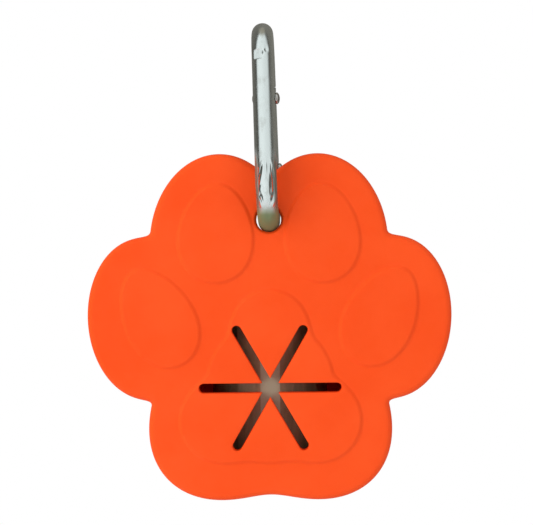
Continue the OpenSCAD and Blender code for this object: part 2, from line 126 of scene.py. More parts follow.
# The snap hook: wire round two bends, with their middles at LOOP_Z and BEND_Z, a flat tongue in
# the gate's fork and a notched nose. The gate holds a plunger and, from SPRING_TOP down, a spring.
WIRE_R = 2.65
LOOP_R = 5.8
BEND_R = 10
LOOP_Z = -3.15
BEND_Z = -34.55
PIVOT_RUN = 10.4
GATE_RUN = 17.7
FORK_R = 2.75
END_GAP = 0.3
TONGUE_T = 2
NOSE_T = 1.7
CAM_DROP = 2
NOSE_REACH = 1.9
NOTCH_R = 0.82
TIP_HALF = 2.45
SPRING_TOP = 5.1
SPRING_L = 6.5

COLLAR_W = CAVITY_W + 2 * COLLAR_T
COLLAR_H = CAVITY_H + 2 * COLLAR_T
POUCH_IN_W = COLLAR_W + 2 * COLLAR_GAP
POUCH_IN_H = COLLAR_H + 2 * COLLAR_GAP
POUCH_W = POUCH_IN_W + 2 * POUCH_T
POUCH_H = POUCH_IN_H + 2 * POUCH_T
POUCH_Z = -POUCH_DROP - POUCH_H / 2
ROLL_Y = HALF + ROLL_GAP + ROLL_R
POUCH_IN_BACK = ROLL_Y + ROLL_R + ROLL_GAP
POUCH_BACK = POUCH_IN_BACK + POUCH_T


# ---------------------------------------------------------------- places in the frame

def joint(name):
    return next(j for j in frame["joints"] if j["name"] == name)


PAW_AT = Vector(joint("paw_swing")["pos_m"]) / MM
ROLL_AT = Vector(joint("roll_spin")["pos_m"]) / MM
GATE_AT = Vector(joint("gate_hinge")["pos_m"]) / MM


def gate_matrix():
    """The gate's frame: its pivot at the origin, +X along the pivot rivet, the gate down -Z."""
    across = -Vector(joint("gate_hinge")["axis"])
    up = -Vector(joint("plunger_slide")["axis"])
    outward = up.cross(across)
    turn = Matrix((across, outward, up)).transposed().to_4x4()
    return Matrix.Translation(GATE_AT) @ turn


STRAND_LEAN = math.asin((BEND_R - LOOP_R) / (LOOP_Z - BEND_Z))
STRAND_L = (LOOP_Z - BEND_Z) * math.cos(STRAND_LEAN)
GATE_REACH = STRAND_L - PIVOT_RUN
IN_PAW = Matrix.Translation(PAW_AT)
IN_ROLL = Matrix.Translation(ROLL_AT)
IN_GATE = gate_matrix()
IN_RING = (IN_GATE @ Matrix.Rotation(-STRAND_LEAN, 4, "X")).to_3x3().to_4x4()


# ---------------------------------------------------------------- outlines

def oval_reach(a, oval):
    """Distance from the middle to the far side of an oval (x, z, half width, half height, turn)."""
    x, z, half_w, half_h, turn = oval
    c, s = math.cos(math.radians(turn)), math.sin(math.radians(turn))
    ux = (math.sin(a) * c + math.cos(a) * s) / half_w
    uz = (math.cos(a) * c - math.sin(a) * s) / half_h
    vx = -(x * c + z * s) / half_w
    vz = -(z * c - x * s) / half_h
    qa = ux * ux + uz * uz
    qb = ux * vx + uz * vz
    qd = qb * qb - qa * (vx * vx + vz * vz - 1)
    return 0 if qd < 0 else max(0, (math.sqrt(qd) - qb) / qa)


def blended_outline(ovals, blend, count):
    """Outline of softly blended ovals, clockwise from the top, as an array of [x, z]."""
    points = []
    for a in turn_angles(count):
        reach = [oval_reach(a, o) for o in ovals]
        top = max(reach)
        r = top + blend * math.log(sum(math.exp((v - top) / blend) for v in reach))
        points.append((r * math.sin(a), r * math.cos(a)))
    return np.array(points)


def egg_outline(x, z, w, h, turn, count=96):
    """Egg outline, narrower at the top, leaning by turn degrees."""
    a = np.array(turn_angles(count))
    c, s = math.cos(math.radians(turn)), math.sin(math.radians(turn))
    ex = w / 2 * np.sin(a) * (1 - PAD_TAPER * np.cos(a))
    ez = h / 2 * np.cos(a)
    return np.stack([x + ex * c + ez * s, z + ez * c - ex * s], axis=1)


def inset(outline, distance):
    """The same clockwise outline, moved inwards."""
    t = np.roll(outline, -1, axis=0) - np.roll(outline, 1, axis=0)
    t /= np.linalg.norm(t, axis=1)[:, None]
    return outline - np.stack([-t[:, 1], t[:, 0]], axis=1) * distance


def turn_angles(count):
    """Angles spaced evenly round one turn."""
    return [2 * math.pi * k / count for k in range(count)]


def circle(r, count=96):
    a = np.array(turn_angles(count))
    return np.stack([r * np.sin(a), r * np.cos(a)], axis=1)


def rounded_rect(w, h, r, corner=12, side=8):
    """Rounded rectangle, clockwise, with the same number of points whatever its size."""
    points = []
    for k, (sx, sz) in enumerate(((1, 1), (1, -1), (-1, -1), (-1, 1))):
        cx, cz = sx * (w / 2 - r), sz * (h / 2 - r)
        for i in range(corner + 1):
            a = math.pi / 2 * (k + i / corner)
            points.append((cx + r * math.sin(a), cz + r * math.cos(a)))
        ahead = ((1, -1), (-1, -1), (-1, 1), (1, 1))[k]
        nx, nz = ahead[0] * (w / 2 - r), ahead[1] * (h / 2 - r)
        a = math.pi / 2 * (k + 1)
        start, end = points[-1], (nx + r * math.sin(a), nz + r * math.cos(a))
        for i in range(1, side + 1):
            t = i / (side + 1)
            points.append((start[0] + (end[0] - start[0]) * t, start[1] + (end[1] - start[1]) * t))
    return np.array(points)


def star_outline(spread, cap=8, side=14):
    """The three crossed slots' outline, clockwise, spread outwards from the slots' own size."""
    half = STAR_W / 2 + spread
    reach = (STAR_L - STAR_W) / 2
    points = []
    for k in range(6):
        a = math.pi / 3 * k + math.pi / 6
        along = np.array([math.sin(a), math.cos(a)])
        across = np.array([math.cos(a), -math.sin(a)])
        inner = half / math.tan(math.pi / 6)
        for i in range(side):
            points.append(along * (inner + (reach - inner) * i / side) - across * half)
        for i in range(cap + 1):
            q = math.pi * i / cap
            points.append(along * (reach + half * math.sin(q)) - across * half * math.cos(q))
        for i in range(side - 1, 0, -1):
            points.append(along * (inner + (reach - inner) * i / side) + across * half)
    return np.array(points) + [0, -STAR_DROP]


def depth_inside(points, outline):
    """How far each point lies inside a closed outline; outside it is negative."""
    best = np.full(len(points), np.inf)
    odd = np.zeros(len(points), bool)
    for p, q in zip(outline, np.roll(outline, -1, axis=0)):
        d = q - p
        t = np.clip(((points - p) @ d) / (d @ d), 0, 1)
        best = np.minimum(best, np.linalg.norm(points - p - t[:, None] * d, axis=1))
        if p[1] != q[1]:
            hit = (points[:, 1] < p[1]) != (points[:, 1] < q[1])
            x = p[0] + (points[:, 1] - p[1]) / (q[1] - p[1]) * d[0]
            odd ^= hit & (points[:, 0] < x)
    return np.where(odd, best, -best)


def eased(t):
    """A smooth step from 0 to 1, as t goes from 0 to 1."""
    t = np.clip(t, 0, 1)
    return t * t * (3 - 2 * t)


def both_sides(item):
    """A row (x, z, size, size, turn) and its mirror image."""
    return [(s * item[0], item[1], item[2], item[3], s * item[4]) for s in (-1, 1)]


PAW_OUTLINE = blended_outline(both_sides(TOP_TOE) + both_sides(SIDE_TOE) + both_sides(HEEL_LOBE),
                              NOTCH_BLEND, OUTLINE_POINTS) + [0, PAW_MIDDLE]
PADS = [egg_outline(*row) for row in both_sides(TOP_PAD) + both_sides(SIDE_PAD)]
PADS.append(blended_outline(HEEL_PAD_OVALS, NOTCH_BLEND, PAD_POINTS) + [0, -STAR_DROP])


def face_y(points):
    """The paw's front surface with its raised pads, at points [x, z]."""
    rise = np.zeros(len(points))
    margin = 1
    for pad in PADS:
        near = np.all((points > pad.min(0) - margin) & (points < pad.max(0) + margin), axis=1)
        if near.any():
            rise[near] = np.maximum(rise[near], eased(depth_inside(points[near], pad) / PAD_STEP))
    return -HALF - PAD_RISE * rise


# ---------------------------------------------------------------- meshes

class Surface:
    """Points in millimetres and the faces between them, made into one mesh object at the end."""

    def __init__(self):
        self.points = []
        self.faces = []

    def loop(self, points):
        first = len(self.points)
        self.points.extend(tuple(map(float, p)) for p in points)
        return list(range(first, len(self.points)))

    def bridge(self, a, b, closed=True):
        for i in range(len(a) if closed else len(a) - 1):
            j = (i + 1) % len(a)
            self.faces.append((a[i], a[j], b[j], b[i]))

    def loft(self, rings, closed=True):
        loops = [self.loop(ring) for ring in rings]
        for a, b in zip(loops, loops[1:]):
            self.bridge(a, b, closed)
        return loops

    def cap(self, loop):
        self.faces.append(tuple(loop))

    def fill(self, loops, inner, y_at):
        """Triangles between closed loops, through inner points [x, z] that lie at y_at of them."""
        index = [i for loop in loops for i in loop]
        flat = [Vector((self.points[i][0], self.points[i][2])) for i in index]
        edges = []
        first = 0
        for loop in loops:
            edges += [(first + i, first + (i + 1) % len(loop)) for i in range(len(loop))]
            first += len(loop)
        flat += [Vector(map(float, p)) for p in inner]
        out, _, triangles, origin, _, _ = delaunay_2d_cdt(flat, edges, [], 0, 1e-7)
        spots = np.array([tuple(p) for p in out])
        height = y_at(spots)
        number = []
        for k, p in enumerate(out):
            old = [i for i in origin[k] if i < len(index)]
            number.append(index[old[0]] if old else self.loop([(p[0], height[k], p[1])])[0])
        triangles = np.array([t for t in triangles if len(t) == 3])
        middle = spots[triangles].mean(axis=1)
        odd = np.zeros(len(middle), bool)
        for loop in loops:
            outline = np.array([(self.points[i][0], self.points[i][2]) for i in loop])
            odd ^= depth_inside(middle, outline) > 0
        self.faces += [tuple(number[i] for i in t) for t in triangles[odd]]

    def piece(self, name, material, matrix=Matrix.Identity(4), sharp=35):
        """One smooth-shaded mesh object in metres, its vertices in the row frame."""
        mesh = bpy.data.meshes.new(name)
        move = np.array(matrix)
        points = np.array(self.points) @ move[:3, :3].T + move[:3, 3]
        mesh.from_pydata((points * MM).tolist(), [], self.faces)
        obj = bpy.data.objects.new(name, mesh)
        bpy.context.scene.collection.objects.link(obj)
        finish_mesh(obj, sharp)
        obj.data.materials.append(material)
        return obj


def finish_mesh(obj, sharp):
    """Welds, drops stray points, splits many-sided faces, turns all outwards and shades smooth."""
    work = bmesh.new()
    work.from_mesh(obj.data)
    bmesh.ops.remove_doubles(work, verts=work.verts, dist=WELD)
    bmesh.ops.delete(work, geom=[v for v in work.verts if not v.link_faces], context="VERTS")
    bmesh.ops.triangulate(work, faces=[f for f in work.faces if len(f.verts) > 4])
    bmesh.ops.recalc_face_normals(work, faces=work.faces)
    work.to_mesh(obj.data)
    work.free()
    obj.data.shade_smooth()
    obj.data.set_sharp_from_angle(angle=math.radians(sharp))
    obj.data.update()


def at_y(points, y):
    """Points [x, z] lifted to [x, y, z]; y is one number or one for each point."""
    ys = np.broadcast_to(y, (len(points),))
    return [(p[0], v, p[1]) for p, v in zip(points, ys)]


def boolean(obj, other, operation):
    """Cuts or joins two closed meshes, and removes the second."""
    step = obj.modifiers.new("step", "BOOLEAN")
    step.operation = operation
    step.object = other
    step.solver = "EXACT"
    made = bpy.data.meshes.new_from_object(obj.evaluated_get(bpy.context.evaluated_depsgraph_get()))
    obj.modifiers.clear()
    obj.data = made
    bpy.data.objects.remove(other)


def spun(profile, count, name, material, matrix, sharp=35):
    """A closed surface of revolution about local Z, from a profile of (radius, z)."""
    s = Surface()
    rings = []
    for r, z in profile:
        ring = circle(r, count) if r > 0 else [(0, 0)]
        rings.append(s.loop([(p[0], p[1], z) for p in ring]))
    for a, b in zip(rings, rings[1:]):
        if len(a) == 1:
            s.faces += [(a[0], b[i], b[(i + 1) % count]) for i in range(count)]
        elif len(b) == 1:
            s.faces += [(b[0], a[(i + 1) % count], a[i]) for i in range(count)]
        else:
            s.bridge(a, b)
    return s.piece(name, material, matrix, sharp)


def quarter(steps):
    """Angles from 0 to a quarter turn."""
    return [math.pi / 2 * k / steps for k in range(steps + 1)]


# ---------------------------------------------------------------- materials

# A Mix node's colour sockets, which share their names with its other sockets.
MIX_A = 6
MIX_B = 7
MIX_OUT = 2

ORANGE_DEEP = (0.93, 0.076, 0.006)
ORANGE_PALE = (0.96, 0.088, 0.010)
ORANGE_DUSTY = (0.95, 0.28, 0.16)
FILM_DARK = (0.20, 0.135, 0.075)
FILM_PALE = (0.29, 0.195, 0.11)
FILM_LIT_STRIP = (0.36, 0.32, 0.22)
CARD_DARK = (0.30, 0.20, 0.12)
CARD_PALE = (0.46, 0.34, 0.22)
NICKEL_CLEAN = (0.74, 0.81, 0.80)
NICKEL_STAINED = (0.58, 0.62, 0.60)
NICKEL_SIDE_SHADE = (0.20, 0.19, 0.15)
NICKEL_DULL = (0.165, 0.23, 0.11)
PIN_BRIGHT = (0.60, 0.59, 0.56)
PIN_DARK = (0.42, 0.41, 0.38)
SPRING_STRAW = (0.47, 0.42, 0.34)
SPRING_DARK = (0.33, 0.31, 0.29)

# Painted highlight: a paler strip down the front of the roll, behind the star's middle, where light through
# the star falls on it.
LIT_STRIP_HALF = 2.45
LIT_STRIP_BLUR = 0.1
LIT_STRIP_DEPTH = 4

# Where the hook's wire is worn, and where its sides are painted darker as shade. Each pair goes from none
# to full, as a distance from the wire's middle plane or a height in the row frame.
SIDE_SHADE_ASIDE = (1.5, 2.2)
SIDE_SHADE_HEIGHT = (-25, -31)
DULL_HEIGHT = (-40.2, -43.2)
RUBBED_TOP = (-28, -33)
RUBBED_FOOT = (-42, -39.5)
RUBBED_ROUGH = 0.1
DULL_ROUGH = 0.42


class Nodes:
    """The nodes of one tree. An input takes a value or another node's output."""

    def __init__(self, tree):
        self.tree = tree
        self.tree.nodes.clear()

    def put(self, node, inputs):
        for key, value in inputs.items():
            socket = node.inputs[key]
            if isinstance(value, bpy.types.NodeSocket):
                self.tree.links.new(value, socket)
            else:
                socket.default_value = value

    def new(self, kind, inputs, operation=None):
        node = self.tree.nodes.new("ShaderNode" + kind)
        if operation:
            node.operation = operation
        self.put(node, inputs)
        return node

    def calc(self, operation, *values):
        return self.new("Math", dict(enumerate(values)), operation).outputs["Value"]

    def times(self, a, b):
        return self.calc("MULTIPLY", a, b)

    def spread(self, value, low, high, to_low=0.0, to_high=1.0):
        """A smooth step from to_low to to_high, as the value goes from low to high."""
        node = self.new("MapRange", {"Value": value, "From Min": low, "From Max": high,
                                     "To Min": to_low, "To Max": to_high})
        node.interpolation_type = "SMOOTHSTEP"
        return node.outputs["Result"]

    def mix(self, factor, a, b):
        """A blend of two colours, each (red, green, blue) or a node's output."""
        a, b = [v if isinstance(v, bpy.types.NodeSocket) else (*v, 1) for v in (a, b)]
        node = self.new("Mix", {})
        node.data_type = "RGBA"
        self.put(node, {"Factor": factor, MIX_A: a, MIX_B: b})
        return node.outputs[MIX_OUT]


class Finish(Nodes):
    """A material with one Principled shader, whose patterns are laid out in millimetres."""

    def __init__(self, name):
        self.material = bpy.data.materials.new(name)
        self.material.use_nodes = True
        super().__init__(self.material.node_tree)
        self.shader = self.new("BsdfPrincipled", {})
        self.new("OutputMaterial", {"Surface": self.shader.outputs["BSDF"]})
        self.place = self.new("TexCoord", {}).outputs["Object"]

    def set(self, **inputs):
        """Sets the shader's inputs, with _ for each space in a socket's name."""
        self.put(self.shader, {key.replace("_", " "): value for key, value in inputs.items()})

    def millimetres(self, stretch=(1, 1, 1)):
        scale = [v / MM for v in stretch]
        return self.new("Mapping", {"Vector": self.place, "Scale": scale}).outputs["Vector"]

    def noise(self, scale, detail=3, rough=0.5, stretch=(1, 1, 1), distortion=0.0):
        """Cloudy noise from 0 to 1. A stretch below 1 draws it out along that axis."""
        place = self.millimetres(stretch)
        return self.new("TexNoise", {"Vector": place, "Scale": scale, "Detail": detail,
                                     "Roughness": rough, "Distortion": distortion}).outputs["Fac"]

    def axis(self, name):
        return self.new("SeparateXYZ", {"Vector": self.millimetres()}).outputs[name]

    def distance_along(self, direction, start):
        """How far a point lies from start along a direction, to either side."""
        along = self.new("VectorMath", {0: self.millimetres(), 1: tuple(direction)}, "DOT_PRODUCT")
        return self.calc("ABSOLUTE", self.calc("SUBTRACT", along.outputs["Value"], direction.dot(start)))

    def bump(self, *layers):
        """Layers of (height, distance in millimetres), each on top of the one before."""
        below = {}
        for height, distance in layers:
            node = self.new("Bump", {"Height": height, "Strength": 1.0, "Distance": distance * MM, **below})
            below = {"Normal": node.outputs["Normal"]}
        self.put(self.shader, below)


def silicone(name, glow, glow_mm):
    """Matt moulded silicone, a clear orange with slight cloudiness and a fine moulded grain.
    The share and depth of the light that it lets in are larger for a thinner moulding."""
    f = Finish(name)
    cloud = f.spread(f.noise(0.06, 4, 0.55), 0.3, 0.7)
    dust = f.times(f.spread(f.noise(2.2, 2, 0.6), 0.68, 0.8), 0.10)
    f.set(Base_Color=f.mix(dust, f.mix(cloud, ORANGE_DEEP, ORANGE_PALE), ORANGE_DUSTY),
          Roughness=f.spread(f.noise(0.35, 5, 0.6), 0.25, 0.75, 0.52, 0.66),
          Specular_IOR_Level=0.2, Subsurface_Weight=glow, Subsurface_Radius=(1.0, 0.7, 0.5),
          Subsurface_Scale=glow_mm * MM)
    f.bump((f.noise(0.5, 3, 0.5), 0.02), (f.noise(9, 3, 0.6), 0.008))
    return f.material


def bag_film():
    """Thin grey-brown film, slightly glossy, drawn into fine creases along the roll. A paler strip
    down the front of the roll, behind the star's middle, is a painted highlight."""
    f = Finish("bag_film")
    creases = f.noise(0.5, 4, 0.6, (1, 1, 0.25), 0.6)
    x, y = f.axis("X"), f.axis("Y")
    middle, wide, narrow = ROLL_AT.x, LIT_STRIP_HALF + LIT_STRIP_BLUR, LIT_STRIP_HALF - LIT_STRIP_BLUR
    # Painted highlight: a paler strip down the front of the roll, behind the star's middle.
    lit_strip = f.times(f.spread(x, middle - wide, middle - narrow), f.spread(x, middle + wide, middle + narrow))
    lit_strip = f.times(lit_strip, f.spread(y, ROLL_AT.y, ROLL_AT.y - LIT_STRIP_DEPTH))
    # Painted shade: the film is darker in its creases' valleys and paler on their ridges, from the same
    # noise that raises the creases in the bump below.
    film = f.mix(f.spread(creases, 0.3, 0.7), FILM_DARK, FILM_PALE)
    f.set(Base_Color=f.mix(lit_strip, film, FILM_LIT_STRIP),
          Roughness=f.spread(f.noise(1.2, 3, 0.5), 0.3, 0.7, 0.36, 0.5), Specular_IOR_Level=0.3)
    f.bump((creases, 0.12), (f.noise(5, 2, 0.5, (1, 1, 0.4)), 0.02))
    return f.material


def core_card():
    """Wound brown card with visible fibres."""
    f = Finish("core_card_brown")
    fibres = f.noise(2.5, 6, 0.7, (1, 1, 0.5))
    f.set(Base_Color=f.mix(f.spread(fibres, 0.3, 0.7), CARD_DARK, CARD_PALE),
          Roughness=f.spread(fibres, 0.2, 0.8, 0.8, 0.95))
    f.bump((fibres, 0.05))
    return f.material


def plated_steel():
    """Nickel-plated wire, bright and finely scratched along its length. Low down, its sides are painted
    darker and less metallic as shade, its front is rubbed smooth and dented there, and its foot has dulled
    to olive."""
    f = Finish("plated_steel")
    height = f.axis("Z")
    aside = f.distance_along(IN_RING.col[0].xyz, GATE_AT)
    # Painted shade: low down, the wire's sides are darker and less metallic, standing in for the dark edges
    # of its reflection.
    side_shade = f.times(f.spread(aside, *SIDE_SHADE_ASIDE), f.spread(height, *SIDE_SHADE_HEIGHT))
    dull = f.spread(height, *DULL_HEIGHT)
    rubbed = f.times(f.spread(height, *RUBBED_TOP), f.spread(height, *RUBBED_FOOT))
    stains = f.spread(f.noise(0.4, 5, 0.65, (1, 1, 0.5)), 0.5, 0.75)
    scratches = f.spread(f.noise(1.5, 4, 0.6, (1, 1, 0.15)), 0.3, 0.75, 0.17, 0.3)
    dents = f.spread(f.noise(0.36, 2, 0.5, (1, 1, 0.32), 0.5), 0.2, 0.8, -0.5, 0.5)
    colour = f.mix(side_shade, f.mix(stains, NICKEL_CLEAN, NICKEL_STAINED), NICKEL_SIDE_SHADE)
    rough = f.mix(rubbed, scratches, (RUBBED_ROUGH,) * 3)
    f.set(Base_Color=f.mix(dull, colour, NICKEL_DULL),
          Metallic=f.times(f.spread(dull, 0, 1, 1, 0.1), f.spread(side_shade, 0, 1, 1, 0.35)),
          Roughness=f.mix(dull, rough, (DULL_ROUGH,) * 3))
    f.bump((f.noise(0.3, 2, 0.5, (1, 1, 0.3)), 0.04), (f.noise(6, 3, 0.6, (1, 1, 0.05)), 0.002),
           (f.times(rubbed, dents), 0.75))
    return f.material


def pin_steel():
    """Plain turned steel of the rivets and the plunger."""
    f = Finish("pin_steel")
    marks = f.noise(7, 3, 0.6)
    f.set(Base_Color=f.mix(f.spread(f.noise(1.1, 3, 0.5), 0.35, 0.7), PIN_BRIGHT, PIN_DARK),
          Roughness=f.spread(marks, 0.3, 0.7, 0.24, 0.4), Metallic=1.0)
    f.bump((marks, 0.005))
    return f.material


def spring_steel():
    """Drawn spring wire, darker and straw-tinged from its heat treatment."""
    f = Finish("spring_steel")
    f.set(Base_Color=f.mix(f.spread(f.noise(1.6, 3, 0.5), 0.35, 0.7), SPRING_STRAW, SPRING_DARK),
          Roughness=f.spread(f.noise(9, 2, 0.5), 0.3, 0.7, 0.28, 0.45), Metallic=1.0)
    f.bump((f.noise(12, 2, 0.5), 0.003))
    return f.material


# ---------------------------------------------------------------- silicone pieces

def clear_of(points, outlines, gap):
    """The points [x, z] that lie further than gap from every outline."""
    keep = np.ones(len(points), bool)
    for outline in outlines:
        keep &= np.abs(depth_inside(points, outline)) > gap
    return points[keep]


def grid(low, high, pitch):
    """Staggered rows of points over a rectangle."""
    rows = []
    z = low[1]
    odd = False
    while z < high[1]:
        xs = np.arange(low[0] + (pitch / 2 if odd else 0), high[0], pitch)
        rows.append(np.stack([xs, np.full(len(xs), z)], axis=1))
        z += pitch * 0.866
        odd = not odd
    return np.concatenate(rows)


def front_points(outer, holes):
    """Points for the front face: close rings over each pad's step and a looser grid elsewhere."""
    beyond, pitch, clear, ring_clear = 0.15, 1.5, 0.6, 0.2
    steps = np.linspace(-beyond, PAD_STEP + beyond, 11)
    rings = np.concatenate([inset(pad, d) for pad in PADS for d in steps])
    inside = grid(PAW_OUTLINE.min(0), PAW_OUTLINE.max(0), pitch)
    for pad in PADS:
        d = depth_inside(inside, pad)
        inside = inside[(d < -clear) | (d > PAD_STEP + clear)]
    lines = holes + [outer]
    points = np.concatenate([clear_of(rings, lines, ring_clear), clear_of(inside, lines, clear)])
    return points[depth_inside(points, outer) > 0]


def back_points(lines):
    """A loose grid of points for the back face, clear of its lines."""
    return clear_of(grid(PAW_OUTLINE.min(0), PAW_OUTLINE.max(0), 4), lines, 1)


def back_y(points):
    return np.full(len(points), HALF)


def paw_sides(s):
    q = quarter(8)
    rings = [(FRONT_EDGE_R * (1 - math.sin(a)), FRONT_EDGE_R * (1 - math.cos(a)) - HALF) for a in q]
    rings += [(-BELLY, BELLY_Y)]
    rings += [(BACK_EDGE_R * (1 - math.cos(a)), HALF - BACK_EDGE_R * (1 - math.sin(a))) for a in q]
    return s.loft([at_y(inset(PAW_OUTLINE, d), y) for d, y in rings])


def paw_hole(s):
    edge = [(HOLE_R + HOLE_LIP * (1 - math.sin(a)), HOLE_LIP * (1 - math.cos(a)) - HALF)
            for a in quarter(5)]
    hole = edge + [(HOLE_R - HOLE_WAIST * (1 - t * t), t * (HALF - HOLE_LIP))
                   for t in np.linspace(-0.8, 0.8, 9)]
    hole += [(r, -y) for r, y in reversed(edge)]
    return s.loft([at_y(circle(r), y) for r, y in hole])


def star_slots(s):
    star = []
    for a in quarter(5):
        line = star_outline(STAR_LIP * (1 - math.sin(a)))
        star.append(at_y(line, face_y(line) + STAR_LIP * (1 - math.cos(a))))
    star += [at_y(star_outline(STAR_BACK_LIP * (1 - math.cos(a))), HALF - STAR_BACK_LIP * (1 - math.sin(a)))
             for a in quarter(3)]
    return s.loft(star)


def paw_collar(s, corner):
    end = HALF + COLLAR_L
    wall = [(0, HALF)]
    wall += [(COLLAR_EDGE * (1 - math.cos(a)), end - COLLAR_EDGE * (1 - math.sin(a))) for a in quarter(4)]
    wall += [(COLLAR_T - d, y) for d, y in reversed(wall)]
    return s.loft([at_y(rounded_rect(COLLAR_W - 2 * d, COLLAR_H - 2 * d, corner - d) + [0, POUCH_Z], y)
                   for d, y in wall])


def paw_shell(material):
    s = Surface()
    sides, bore, slots = paw_sides(s), paw_hole(s), star_slots(s)
    outer = inset(PAW_OUTLINE, FRONT_EDGE_R)
    hole_line = circle(HOLE_R + HOLE_LIP)
    inner = front_points(outer, [hole_line, star_outline(STAR_LIP)])
    s.fill([sides[0], bore[0], slots[0]], inner, face_y)

    corner = CORNER_R - POUCH_T - COLLAR_GAP
    collar = paw_collar(s, corner)
    back_line = inset(PAW_OUTLINE, BACK_EDGE_R)
    collar_line = rounded_rect(COLLAR_W, COLLAR_H, corner) + [0, POUCH_Z]
    cavity_line = rounded_rect(CAVITY_W, CAVITY_H, corner - COLLAR_T) + [0, POUCH_Z]
    back = back_points([back_line, hole_line, collar_line, cavity_line, star_outline(STAR_BACK_LIP)])
    between = back[(depth_inside(back, back_line) > 0) & (depth_inside(back, collar_line) < 0)]
    within = back[depth_inside(back, cavity_line) > 0]
    s.fill([sides[-1], bore[-1], collar[0]], between, back_y)
    s.fill([collar[-1], slots[-1]], within, back_y)
    return s.piece("paw_shell", material, IN_PAW)


def bowed(w, h, r, bow):
    """A rounded rectangle whose straight sides are drawn in by bow at their middles."""
    p = rounded_rect(w, h, r)
    flat_x, flat_z = w / 2 - r, h / 2 - r
    pull_x = np.where(np.abs(p[:, 1]) < flat_z, 1 - (p[:, 1] / flat_z) ** 2, 0) ** 1.5 * bow
    pull_z = np.where(np.abs(p[:, 0]) < flat_x, 1 - (p[:, 0] / flat_x) ** 2, 0) ** 1.5 * bow
    on_side = np.abs(np.abs(p[:, 0]) - w / 2) < 1e-6
    on_end = np.abs(np.abs(p[:, 1]) - h / 2) < 1e-6
    p[:, 0] -= np.where(on_side, np.sign(p[:, 0]) * pull_x, 0)
    p[:, 1] -= np.where(on_end, np.sign(p[:, 1]) * pull_z, 0)
    return p


def pouch_shell(material):
    """The pouch, its sides drawn in a little, with a raised panel on its back and a rolled mouth."""
    s = Surface()
    mouth = HALF + MOUTH_GAP
    lip, inner_lip = 0.6, 0.4
    draw_in, bow_from = 0.3, mouth + 1
    edge = POUCH_EDGE_R - POUCH_T
    panel_d, panel_gap, panel_step = POUCH_EDGE_R + PANEL_MARGIN, 0.5, 0.9

    def ring(w, h, corner, d, y):
        share = math.sin(math.pi * min(1, max(0, (y - bow_from) / (POUCH_BACK - mouth))))
        bow = draw_in * share if d < 0.7 * POUCH_EDGE_R else 0
        return at_y(bowed(w - 2 * d, h - 2 * d, max(0.5, corner - d), bow) + [0, POUCH_Z], y)

    def outer_corner(d):
        return CORNER_R + (0 if d < POUCH_EDGE_R else PANEL_MARGIN * 0.6)

    e = quarter(10)
    walls = [(0, mouth + lip + (POUCH_BACK - POUCH_EDGE_R - mouth - lip) * k / 8) for k in range(1, 8)]
    outside = [(lip * (1 - math.sin(a)), mouth + lip * (1 - math.cos(a))) for a in quarter(4)] + walls
    outside += [(POUCH_EDGE_R * (1 - math.cos(a)), POUCH_BACK - POUCH_EDGE_R * (1 - math.sin(a)))
                for a in e]
    outside += [(panel_d - panel_gap, POUCH_BACK)]
    outside += [(panel_d + panel_step * t, POUCH_BACK + PANEL_RISE * (3 * t * t - 2 * t ** 3))
                for t in (0.15, 0.3, 0.45, 0.6, 0.75, 0.9, 1.0)]
    skin = s.loft([ring(POUCH_W, POUCH_H, outer_corner(d), d, y) for d, y in outside])
    s.cap(skin[-1])

    inside = [(-inner_lip * (1 - math.sin(a)), mouth + inner_lip * (1 - math.cos(a))) for a in quarter(4)]
    inside += walls
    inside += [(edge * (1 - math.cos(a)), POUCH_IN_BACK - edge * (1 - math.sin(a))) for a in e]
    lining = s.loft([ring(POUCH_IN_W, POUCH_IN_H, CORNER_R - POUCH_T, d, y) for d, y in inside])
    s.cap(lining[-1])
    s.bridge(skin[0], lining[0])
    return s.piece("pouch_shell", material, IN_PAW)


# ---------------------------------------------------------------- the roll of bags

def film_roll(material):
    """The wound bags: a creased outside and end faces that show the winding's layers."""
    dice = random.Random(SEED)
    waves = [(dice.choice((2, 3, 5, 7, 9, 13, 17)), dice.uniform(0, 6.28), dice.uniform(-0.08, 0.08),
              dice.uniform(0.006, 0.02)) for _ in range(14)]
    s = Surface()
    angles = turn_angles(144)
    pitch = 0.42
    slack, core_gap, edge_in, edge_down = 0.12, 0.02, 0.25, 0.45
    half = ROLL_L / 2

    def out(a, z):
        return ROLL_R - slack + sum(w * math.sin(n * a + p + t * z) for n, p, t, w in waves)

    def layer(a, r):
        wound = (r - CORE_R) / pitch - a / (2 * math.pi)
        groove = 0.16 * abs(wound % 1 - 0.5) * 2
        return groove + 0.10 * (1 + math.sin(math.floor(wound) * 2.4 + 3 * math.sin(a)))

    def end_ring(sign, share):
        ring = []
        for a in angles:
            r = CORE_R + core_gap + (out(a, sign * half) - edge_in - CORE_R) * share
            ring.append((r * math.sin(a), r * math.cos(a), sign * (half - layer(a, r))))
        return ring

    shares = [k / 44 for k in range(45)]
    zs = [-half + edge_down + (ROLL_L - 2 * edge_down) * k / 40 for k in range(41)]
    rings = [end_ring(-1, t) for t in shares]
    rings += [[(out(a, z) * math.sin(a), out(a, z) * math.cos(a), z) for a in angles] for z in zs]
    rings += [end_ring(1, t) for t in reversed(shares)]
    loops = s.loft(rings)
    s.bridge(loops[-1], loops[0])
    return s.piece("film_roll", material, IN_ROLL, sharp=50)


